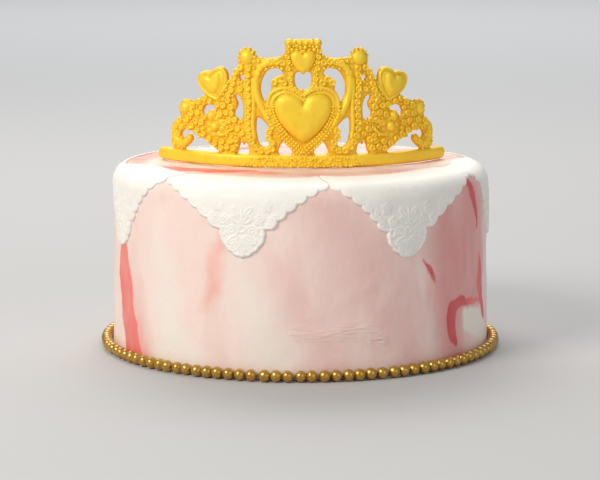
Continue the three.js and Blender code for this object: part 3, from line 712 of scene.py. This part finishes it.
OPENINGS = [
    [(11.4, 53.4), (13, 56), (16, 57), (19.8, 56.2), (22.8, 53), (24.9, 47.8), (24.9, 42.5), (22.4, 37.4),
     (20.8, 37.4), (18.2, 44), (19, 47.6), (17.6, 51), (14.6, 52)],
    [(26.4, 29.4), (27.6, 26.8), (27.6, 18.6), (26.2, 14), (23.6, 11.9), (20.9, 12), (19.4, 14.2),
     (21.9, 17.6), (19.7, 21.2), (20.2, 23.8)],
    [(10.6, 15.4), (12.2, 14.9), (15.8, 7), (4.4, 7)],
    [(34, 16.1), (37.4, 7), (31, 7)],
    [(31.4, 49), (33, 51.8), (35.8, 52.8), (38, 51.8), (36.8, 50), (32.8, 47.8)],
    [(37, 40), (39.4, 41.6), (40.8, 40.3), (38, 35.8), (41.6, 30.9), (40.6, 28.6), (36.2, 26), (35.4, 34)],
    [(53, 32), (55, 34.4), (58.6, 35), (62, 33.4), (62.8, 30.4), (61.4, 28.2), (59.6, 29.4), (58.8, 31.4),
     (56, 32)],
    [(-4.6, 55), (-5, 50), (-4.4, 46.8), (-2.6, 44.6), (2.6, 44.6), (4.4, 46.8), (5, 50), (4.6, 55)],
]
HEART_RIM = [(0, 39.4), (5, 43.2), (11.5, 44), (17.4, 41), (19, 35.5), (17.6, 28.5), (12.8, 20.6),
             (6.4, 13.8), (0, 8.4)]
RAIL = [(9.4, 59.4), (14, 60.2), (20, 60), (25, 57), (27.4, 51), (27.4, 44.5), (25.8, 37.6), (23, 32),
        (18.6, 26)]
POST = [(32, 57.5), (32.6, 51), (32.6, 44), (31.8, 38), (32.2, 31), (32.4, 23), (30.6, 16), (26, 10),
        (19, 9.8)]
INNER_STRAND = [(17.2, 25), (19.4, 21.6), (20.1, 17.4), (17.8, 14), (18.2, 10)]
ARM = [(35.6, 57.4), (38.4, 55.4), (40.6, 52), (41.4, 47.6), (43, 43), (46, 39.4)]
SCROLL = [(80.6, 24), (84.8, 21.6), (86.4, 17.6), (84.8, 13.2), (81, 11), (76.6, 11.8), (73.2, 14.6)]
NECKLACE = [(8.4, 56.6), (6.9, 53.1), (7.4, 48.6), (5, 44.9)]
# The straps in relief: line, width, height, and how square the section is.
STRAPS = [
    ([(-4, 3.7), (40, 3.7), (BAND_LENGTH / 2 - 3.9, 3.9)], 7.6, 3.0, 2.6),  # the band
    (HEART_RIM[:6], 5.6, 2.0, 2.0),
    (HEART_RIM[4:], 5.4, 2.1, 2.5),
    ([(0, 41.4), (5.2, 44.8), (11.6, 45.7), (18.4, 42.6), (20.6, 36.4), (19.4, 30)], 2.2, 2.8, 2.0),
    ([(0, 38.6), (5, 42.2), (11.4, 42.9), (16.4, 40), (17.8, 35), (16.6, 29)], 1.6, 2.4, 2.0),
    (RAIL[:4], 4.6, 2.1, 2.0),
    (RAIL[2:], 4.2, 3.1, 1.3),
    (POST, 4.4, 1.9, 2.0),
    ([(29.2, 50), (29.4, 44), (28.9, 38), (29.2, 30), (29.4, 23), (28.4, 17)], 3.0, 2.9, 1.4),  # plain post
    (SCROLL, 5.0, 2.5, 2.0),
    ([(-8.6, 71.4), (0, 71), (8.6, 71.4)], 3.4, 2.5, 2.0),  # the crest
    ([(43.2, 21), (46.2, 18.6), (50, 17.8)], 2.6, 3.3, 1.2),  # a leaf and two strokes
    ([(45.4, 46.2), (49.6, 40.4)], 1.7, 2.9, 1.2),
    ([(43.6, 44.2), (47.4, 38.8)], 1.7, 2.9, 1.2),
    (NECKLACE, 2.8, 1.9, 2.0),
]
# Round knobs: place, radius and height. Stones in settings: place, the stone's radius, its ring's
# radius, and the number and radius of the lumps round it. Their bases, and how far they rise.
KNOBS = [(8.2, 70.9, 2.7, 3.1), (55.8, 28.6, 3.2, 4.0), (BAND_LENGTH / 2 - 4, 3.9, 3.9, 2.9)]
STONES = [(33.2, 62.4, 4.1, 5.0, 11, 1.2), (76.2, 31.8, 3.4, 4.3, 10, 1.05), (53.8, 22.3, 3.0, 4.7, 8, 1.6)]
STONE_BASE, STONE_RISE = 1.5, 2.5
LUMP_BASE, LUMP_RISE = 1.2, 1.1
FLOWER = [(14, 50.4), (16.8, 48.6), (11, 48.6)]
CLUSTER = [
    (44.8, 37.6), (47.8, 34.8), (42.8, 34.2), (51.6, 35), (46, 30.8), (50, 29.6), (44, 26.4), (38.8, 21.6),
    (47.2, 24.8), (60.6, 38.4), (64.6, 36.2), (69.4, 33.6), (65.8, 29.8), (70.2, 29.2), (74.2, 25.4),
    (63, 24.4), (67.2, 24.8), (70.6, 22), (66.2, 19.6), (61.6, 17.8), (57.8, 15.2), (53.6, 12.6),
    (49.4, 10.2), (45.6, 11.2), (41.4, 10.6), (39.8, 15.6), (43.2, 14.6), (48.8, 14), (80.2, 24.6),
]
# Rows of rosettes: line, where they start and stop as shares of its length, spacing and radius.
ROSETTE_ROWS = [
    (RAIL, 0.05, 0.4, 3.9, ROSETTE),
    (POST, 0.02, 0.97, 3.9, ROSETTE),
    (INNER_STRAND, 0.1, 0.95, 3.7, ROSETTE),
    (ARM, 0.06, 0.9, 3.8, ROSETTE),
    (NECKLACE, 0, 1, 3.0, SMALL_ROSETTE),
    (SCROLL, 0.1, 0.98, 3.1, SMALL_ROSETTE),
]
TOP_EDGE = [(9.1, 66.4), (8.9, 63.2), (8.3, 60.2)]


def smooth_line(points, steps=6):
    """A Catmull-Rom line through points."""
    knots = np.array([points[0], *points, points[-1]], float)
    share = (np.arange(steps) / steps)[:, None]
    line = []
    for p, a, b, n in zip(knots, knots[1:], knots[2:], knots[3:]):
        bend = 2 * p - 5 * a + 4 * b - n + share * (3 * (a - b) + n - p)
        line.append(a + 0.5 * share * (b - p + share * bend))
    return [tuple(q) for q in np.concatenate(line)] + [points[-1]]


def rounded(outline):
    """A closed outline with its corners cut twice."""
    for _ in range(2):
        ends = outline[1:] + outline[:1]
        outline = [(a[0] * s + b[0] * (1 - s), a[1] * s + b[1] * (1 - s))
                   for a, b in zip(outline, ends) for s in (0.75, 0.25)]
    return outline


def along(points, start, stop, pitch):
    """Places every pitch along a line between two shares of its length, and their side directions."""
    line = np.array(smooth_line(points, 12))
    run = np.concatenate([[0], np.cumsum(np.linalg.norm(np.diff(line, axis=0), axis=1))])
    count = max(2, round((stop - start) * run[-1] / pitch) + 1)
    stations = np.linspace(start, stop, count) * run[-1]

    def at(station):
        """Places at distances along the line."""
        return np.stack([np.interp(station, run, line[:, k]) for k in (0, 1)], -1)

    ahead = at(stations + 0.2) - at(stations - 0.2)
    ahead /= np.maximum(np.linalg.norm(ahead, axis=1, keepdims=True), 1e-9)
    return at(stations), np.stack([-ahead[:, 1], ahead[:, 0]], -1)


def heart_outline(width, lobes, notch, waist, tip):
    """A heart's closed outline: width from the middle to one side, the others heights."""
    bends = [
        (0, notch), (0.08, notch + 0.8 * (lobes - notch)), (0.32, lobes), (0.57, lobes), (0.84, lobes),
        (1, (lobes + waist) / 2), (1, waist), (1, waist - 0.34 * (waist - tip)),
        (0.5, tip + 0.2 * (waist - tip)), (0, tip),
    ]
    bends = np.array([(x * width, y) for x, y in bends])
    t = (np.arange(8) / 8)[:, None]
    right = [a * (1 - t) ** 3 + 3 * b * t * (1 - t) ** 2 + 3 * c * t * t * (1 - t) + d * t**3
             for a, b, c, d in (bends[0:4], bends[3:7], bends[6:10])]
    right = np.concatenate(right + [bends[9:10]])
    left = right[1:-1][::-1] * (-1, 1)
    return [tuple(p) for p in np.concatenate([right, left])]


def leaning(outline):
    """A side heart's outline turned outwards and set in its place above the cluster."""
    cosine, sine = math.cos(math.radians(15)), math.sin(math.radians(15))
    return [(55 + x * cosine + y * sine, 47.9 - x * sine + y * cosine) for x, y in outline]


BIG_HEART = heart_outline(16.8, 42.2, 36.2, 35, 14.3)
TOP_HEART = heart_outline(7.2, 66.6, 65, 63.4, 53.2)
SIDE_HEART = leaning(heart_outline(6.5, 4.9, 3.1, 1.8, -7.2))
SIDE_FRAME = leaning(heart_outline(10.8, 7.6, 6.2, 2.2, -11.6))
# The raised hearts, each with its rise and the width of its slope.
HEARTS = [(BIG_HEART, 3.6, 6.5), (TOP_HEART, 2.7, 3.6), (SIDE_HEART, 2.9, 2.6)]
HEART_BASE = 1.4
FRAME_BASE, FRAME_RISE, FRAME_GROOVE = 0.9, 1.8, 2.3  # the groove's distance from the frame's edge


def sheet_field(x, y):
    """Distance inside the pierced sheet."""
    sheet = np.max([outline_field(x, y, rounded(outline)) for outline in SHEETS], axis=0)
    hole = np.max([outline_field(x, y, rounded(outline)) for outline in OPENINGS], axis=0)
    return np.minimum(sheet, -hole)


chance = np.random.default_rng(17)


def scatter(taken, corner, far, sizes, tries, crowding):
    """Random places on the sheet, biggest first, clear of the openings, the hearts and what is taken."""
    x, y = chance.uniform(corner[0], far[0], tries), chance.uniform(corner[1], far[1], tries)
    room = sheet_field(x, y)
    for closed in (BIG_HEART, TOP_HEART, SIDE_FRAME):
        room = np.minimum(room, -outline_field(x, y, closed))
    spots = []
    for spot_x, spot_y, clear, radius in zip(x, y, room, np.sort(chance.uniform(*sizes, tries))[::-1]):
        free = (math.hypot(spot_x - a, spot_y - b) > r + radius * crowding for a, b, r in taken)
        if clear > 0.55 * radius and all(free):
            spots.append((spot_x, spot_y, radius))
            taken.append((spot_x, spot_y, radius))
    return spots


rosettes = [(x, y, ROSETTE) for x, y in CLUSTER + FLOWER]
for line, start, stop, pitch, radius in ROSETTE_ROWS:
    rosettes += [(x, y, radius) for x, y in along(line, start, stop, pitch)[0]]
rosettes += [(x, y, SMALL_ROSETTE) for x, y in TOP_EDGE]
taken = list(rosettes)
taken += [(x, y, setting + lump) for x, y, _, setting, _, lump in STONES]
taken += [(55.8, 28.6, 3.1), (44.6, 20, 1.5), (48, 18.2, 1.5)]  # the cluster's knob and the leaf
rosettes += scatter(taken, (36, 8), (90, 58), (1.2, 1.8), 900, 0.85)


def dome(inward, reach):
    """0 at an edge, rising round to 1 at a distance inside it."""
    return np.sqrt(1 - (1 - np.clip(inward / reach, 0, 1)) ** 2)


def casting(x, y):
    """Distance inside the casting's outline, and its height, over flat places."""
    x = np.abs(x)
    sheet = sheet_field(x, y)
    pieces = [(sheet, GROUND * dome(sheet, 1.2))]
    for line, width, height, square in STRAPS:
        inward = width / 2 - line_gap(x, y, smooth_line(line))
        low = np.clip(1 - inward / (width / 2), 0, 1)
        pieces.append((inward, height * (1 - low ** (2 * square)) ** 0.5))
    for cx, cy, radius in rosettes:
        inward = radius + 0.1 - np.hypot(x - cx, y - cy)
        pieces.append((inward, ROSETTE_BED * dome(inward, 0.7)))
    for cx, cy, radius, height in KNOBS:
        inward = radius - np.hypot(x - cx, y - cy)
        pieces.append((inward, height * dome(inward, radius)))
    for cx, cy, stone, setting, count, lump in STONES:
        gap = np.hypot(x - cx, y - cy)
        height = np.where(gap < stone, STONE_BASE + STONE_RISE * dome(stone - gap, stone), GROUND)
        pieces.append((setting - gap, height * (gap < setting)))
        for k in range(count):
            spoke = 2 * math.pi * (k + 0.3) / count
            inward = lump - np.hypot(x - cx - setting * math.cos(spoke), y - cy - setting * math.sin(spoke))
            pieces.append((inward, (LUMP_BASE + LUMP_RISE * dome(inward, lump)) * (inward > 0)))
    for outline, rise, reach in HEARTS:
        inward = outline_field(x, y, outline)
        pieces.append((inward, (HEART_BASE + rise * dome(inward, reach)) * (inward > 0)))
    inward = outline_field(x, y, SIDE_FRAME)
    groove = 0.5 * corded(inward - FRAME_GROOVE, 0.5)
    pieces.append((inward, (FRAME_BASE + FRAME_RISE * dome(inward, 1.6) - groove) * (inward > 0)))
    # A high power sum keeps the tallest piece and melts it into its neighbours.
    melt = 7
    height = np.sum([np.clip(piece[1], 0, None) ** melt for piece in pieces], axis=0) ** (1 / melt)
    return np.max([piece[0] for piece in pieces], axis=0), height


def stand(piece):
    """Bends a flat piece round the former and stands it on the cake; x, y, z in millimetres before."""
    flat = np.empty(len(piece.data.vertices) * 3)
    piece.data.vertices.foreach_get("co", flat)
    x, y, z = flat.reshape(-1, 3).T
    # The height over the flat is kept for the gold's painted shade.
    paint(piece, "relief", z)
    turn = x / TIARA_FACE + TIARA_TURN
    radius = FORMER_RADIUS + z
    spot = [TIARA_CENTRE[0] + radius * np.sin(turn), TIARA_CENTRE[1] - radius * np.cos(turn),
            y + CAKE_HEIGHT / MM + TIARA_LIFT]
    piece.data.vertices.foreach_set("co", (np.stack(spot, -1) * MM).ravel())
    piece.data.update()
    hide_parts("tiara")
    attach(piece, "root")


def build_casting(cell):
    """The casting in the flat: a fine sheet cut along its outline, with slight marks of handling."""
    columns = np.arange(-BAND_LENGTH / 2 - 2, BAND_LENGTH / 2 + 2, cell)
    x, y = np.meshgrid(columns, np.arange(-1.2, 76, cell))
    x, y, edge, faces = cut_sheet(x, y, np.minimum(casting(x, y)[0], y + 0.05), cell)
    inward, height = casting(x, y)
    flat = np.stack([x, y, 0 * x], -1)
    handled = swell(flat, 5.0, 41) * 0.05 + swell(flat, 18.0, 42) * 0.08
    height = (height + handled) * (0.45 + 0.55 * dome(np.maximum(edge, inward), 0.8))
    front = np.stack([x, y, np.maximum(height, 0.5)], -1)
    return close_sheet("tiara_casting", front, front * (1, 1, 0), faces)


# Gold lustre brushed on gum paste, with a satin sheen. Its colour holds painted shade: bright yellow gold
# on what stands proud, a darker orange gold on the low parts and in the hollows. Brush marks are 6 mm
# apart, and the grain of 1.1 mm is coarser than the lustre's dust, so that it shows.
material, tree = new_material("gold lustre paint on gum paste")
place = add(tree, "ShaderNodeTexCoord", {}).outputs["Object"]
brush = add(tree, "ShaderNodeTexNoise", {
    "Vector": place, "Scale": 160, "Detail": 5, "Roughness": 0.6, "Distortion": 0.4})
grain = add(tree, "ShaderNodeTexNoise", {"Vector": place, "Scale": 900, "Detail": 3, "Roughness": 0.6})
proud = add(tree, "ShaderNodeAttribute", {}, attribute_name="relief").outputs["Fac"]
# Painted shade: the gold turns from bright yellow on what stands proud to a darker orange on the low parts,
# with brush marks mixed in.
raised = add(tree, "ShaderNodeMapRange", {
    "Value": proud, "From Min": 0.9, "From Max": 2.9}, interpolation_type="SMOOTHSTEP")
worn = add(tree, "ShaderNodeMapRange", {
    "Value": brush, "From Min": 0.32, "From Max": 0.68, "To Min": -0.22, "To Max": 0.22})
proud_shade_and_brush = add(tree, "ShaderNodeMath", {0: raised, 1: worn}, operation="ADD", use_clamp=True)
# Painted shade: a darker orange gold where the surface is hollow.
painted_hollow_shade = add(tree, "ShaderNodeMapRange", {
    "Value": add(tree, "ShaderNodeNewGeometry", {}).outputs["Pointiness"],
    "From Min": 0.41, "From Max": 0.495}, interpolation_type="SMOOTHSTEP")
gold = add(tree, "ShaderNodeMix", {0: proud_shade_and_brush, 6: linear("#f0b51b"), 7: linear("#ffda3c")}, data_type="RGBA")
gold = add(tree, "ShaderNodeMix", {0: painted_hollow_shade, 6: linear("#dc980f"), 7: gold.outputs[2]}, data_type="RGBA")
relief = add(tree, "ShaderNodeBump", {"Height": grain, "Strength": 0.3, "Distance": 0.2 * MM})
relief = add(tree, "ShaderNodeBump", {
    "Height": brush, "Strength": 0.3, "Distance": 0.6 * MM, "Normal": relief})
rough = add(tree, "ShaderNodeMapRange", {
    "Value": brush, "From Min": 0.3, "From Max": 0.7, "To Min": 0.44, "To Max": 0.6})
surface = add(tree, "ShaderNodeBsdfPrincipled", {
    "Base Color": gold.outputs[2], "Metallic": 0.35, "Roughness": rough, "Normal": relief, "IOR": 1.5})
add(tree, "ShaderNodeOutputMaterial", {"Surface": surface})

tiara = build_casting(CASTING_CELL)
tiara.data.materials.append(material)
stand(tiara)

# The recipe: copies of one moulded shape on the seeds, sized by the seeds' own number, each spun
# and slightly squashed at random, then made real and painted.
recipe, given = new_recipe("moulded ornament", {
    "Shape": "NodeSocketObject", "Unevenness": "NodeSocketFloat", "Seed": "NodeSocketInt",
    "Lustre": "NodeSocketMaterial"})
shape = add(recipe, "GeometryNodeObjectInfo", {"Object": given.outputs["Shape"]})
size = add(recipe, "GeometryNodeInputNamedAttribute", {"Name": "size"}, data_type="FLOAT")
spin, loose = [
    add(recipe, "FunctionNodeRandomValue", {0: low, 1: high, "Seed": given.outputs["Seed"]},
        data_type="FLOAT_VECTOR")
    for low, high in (((-0.12, -0.12, 0.0), (0.12, 0.12, 6.28)), ((-1.0, -1.0, -1.0), (1.0, 1.0, 1.0)))]
loose = add(recipe, "ShaderNodeVectorMath", {
    0: loose, "Scale": given.outputs["Unevenness"]}, operation="SCALE")
scale = add(recipe, "ShaderNodeVectorMath", {0: loose, 1: (1.0, 1.0, 1.0)}, operation="ADD")
scale = add(recipe, "ShaderNodeVectorMath", {0: scale, "Scale": size}, operation="SCALE")
placed = add(recipe, "GeometryNodeInstanceOnPoints", {
    "Points": given, "Instance": shape.outputs["Geometry"], "Rotation": spin, "Scale": scale})
real = add(recipe, "GeometryNodeRealizeInstances", {0: placed})
coated = add(recipe, "GeometryNodeSetMaterial", {0: real, "Material": given.outputs["Lustre"]})
add(recipe, "NodeGroupOutput", {0: coated})


def both_sides(ornaments):
    """Ornaments of the right half and their mirror images; one on the middle line stays single."""
    sides = [(side * x, y, radius) for x, y, radius in ornaments for side in (1, -1) if x > 0.1 or side > 0]
    return np.array(sides)


def press(name, mould, ornaments, heights, unevenness, seed):
    """Ornaments of one mould, set on the casting at these heights and bent with it."""
    values = {"Shape": mould, "Unevenness": unevenness, "Seed": seed, "Lustre": material}
    seeds = np.column_stack([ornaments[:, :2], heights])
    stand(grown(name, seeds, recipe, values, ornaments[:, 2]))
    bpy.data.objects.remove(mould)


# Rosettes: small soft rings with a dimple, pressed in the same mould, each a little different.
turn = np.linspace(0, 2 * math.pi, 24, endpoint=False)
petals = 1 + 0.035 * np.cos(6 * turn)
points = []
for radius, height in ((0.96, -0.7), (1.03, 0.0), (1.0, 0.3), (0.88, 0.54), (0.7, 0.66), (0.54, 0.58),
                       (0.4, 0.42), (0.28, 0.36), (0.12, 0.44)):
    reach = radius * (petals if radius > 0.5 else np.ones(len(turn)))
    points += zip(reach * np.cos(turn), reach * np.sin(turn), np.full(len(turn), height))
rosette = ringed_piece("rosette_mould", [*points, (0, 0, -0.7), (0, 0, 0.46)], len(turn))
spots = both_sides(rosettes)
press("tiara_rosettes", rosette, spots, np.full(len(spots), ROSETTE_BED), 0.07, 3)

# Small beads: three rows down each side of the big heart's frame and one above it, the fringe over
# the middle of the band, the filled top, and the seed beads between the rosettes.
BEAD_PITCH = 1.85
FRINGE_ROWS, FRINGE_RISE, FRINGE_STRAY = 4, 1.5, 0.45

beads = []
places, sideways = along(HEART_RIM, 0.44, 0.985, 1.95)
for row in (-BEAD_PITCH, 0, BEAD_PITCH):
    outer = 0.2 if row else 0
    for (x, y), (nx, ny) in zip(places, sideways):
        beads.append((x + row * nx + outer, y + row * ny, chance.uniform(0.82, 1.0)))
beads += [(x, y, 0.75) for x, y in along([(0, 40.6), (5.2, 43.9), (10, 44.6)], 0.1, 1, 1.7)[0]]
for row in range(FRINGE_ROWS):
    for x in np.arange(0.9 + 0.8 * (row % 2), 46 - 5 * row, BEAD_PITCH):
        missing = 0.14 + 0.1 * row + 0.03 * max(0, x - 22)
        if chance.random() > missing:
            x_stray, y_stray = [chance.uniform(-FRINGE_STRAY, FRINGE_STRAY) for _ in range(2)]
            beads.append((x + x_stray, 1.2 + FRINGE_RISE * row + y_stray, chance.uniform(0.55, 0.95)))
taken += [(x, y, 0.8 * radius) for x, y, radius in beads]
beads += scatter(taken, (0.4, 64), (10.2, 73), (0.75, 1.25), 700, 0.8)
beads += scatter(taken, (6.4, 56), (36, 67), (0.7, 1.1), 500, 0.9)
beads += scatter(taken, (36, 8), (90, 58), (0.6, 1.05), 2200, 0.85)
turns = np.linspace(0, 2 * math.pi, 12, endpoint=False)
points = [(math.sin(a) * math.cos(b), math.sin(a) * math.sin(b), math.cos(a))
          for a in np.linspace(0, math.pi, 9)[1:-1] for b in turns]
bead = ringed_piece("bead_mould", [*points, (0, 0, 1), (0, 0, -1)], len(turns))
spots = both_sides(beads)
press("tiara_beads", bead, spots, casting(spots[:, 0], spots[:, 1])[1] + 0.1 * spots[:, 2], 0.12, 5)

# ---- The floor, the light and the camera ----
# A plain pale floor under a soft light from the upper left. The camera looks slightly down on the
# cake, from above the height of the tiara.

FLOOR_REACH, FLOOR_DEPTH = 6, -0.2 * MM

corners = [(x * FLOOR_REACH, y * FLOOR_REACH, FLOOR_DEPTH) for x, y in ((-1, -1), (1, -1), (1, 1), (-1, 1))]
floor = mesh_piece("studio_floor", corners, [(0, 1, 2, 3)])
material, tree = new_material("pale studio floor")
surface = add(tree, "ShaderNodeBsdfPrincipled", {"Base Color": linear("#bebebe"), "Roughness": 0.85})
add(tree, "ShaderNodeOutputMaterial", {"Surface": surface})
floor.data.materials.append(material)


def soft_light(name, place, aim, size, power, colour):
    """A square area light at a place, turned towards a point."""
    light = bpy.data.lights.new(name, "AREA")
    light.shape, light.size, light.energy, light.color = "SQUARE", size, power, linear(colour)[:3]
    lamp = bpy.data.objects.new(name, light)
    lamp.location = place
    lamp.rotation_euler = (Vector(aim) - Vector(place)).to_track_quat("-Z", "Y").to_euler()
    bpy.context.scene.collection.objects.link(lamp)


# Places, aims and sizes in metres, power in watts.
soft_light("key_light", (-1.1, -1.0, 1.1), (0, 0, 0.06), 0.7, 20.5, "#fffaf2")
soft_light("fill_light", (1.2, -1.5, 0.7), (0, 0, 0.08), 1.0, 5, "#f6f7ff")
soft_light("top_light", (-0.2, 0.8, 1.3), (0, 0, 0.1), 0.9, 8, "#fffaf4")
soft_light("backdrop_light", (0, 3.4, 2.4), (0, 3.4, 0), 4, 100, "#fbfcff")

scene = bpy.context.scene
scene.world = bpy.data.worlds.new("studio")
scene.world.use_nodes = True
backdrop = scene.world.node_tree.nodes["Background"]
backdrop.inputs["Color"].default_value = linear("#dadbda")
backdrop.inputs["Strength"].default_value = 0.5

camera = bpy.data.objects.new("camera", bpy.data.cameras.new("camera"))
camera.data.lens = 131.9
camera.data.sensor_width = 36
camera.data.clip_start = 0.05
camera.location = (-0.00066, -1.2703, 0.2589)
camera.rotation_euler = (math.radians(90 - 8.91), 0, -0.0005)
scene.collection.objects.link(camera)
scene.camera = camera
scene.render.resolution_x, scene.render.resolution_y = 1200, 960
scene.view_settings.view_transform = "Standard"
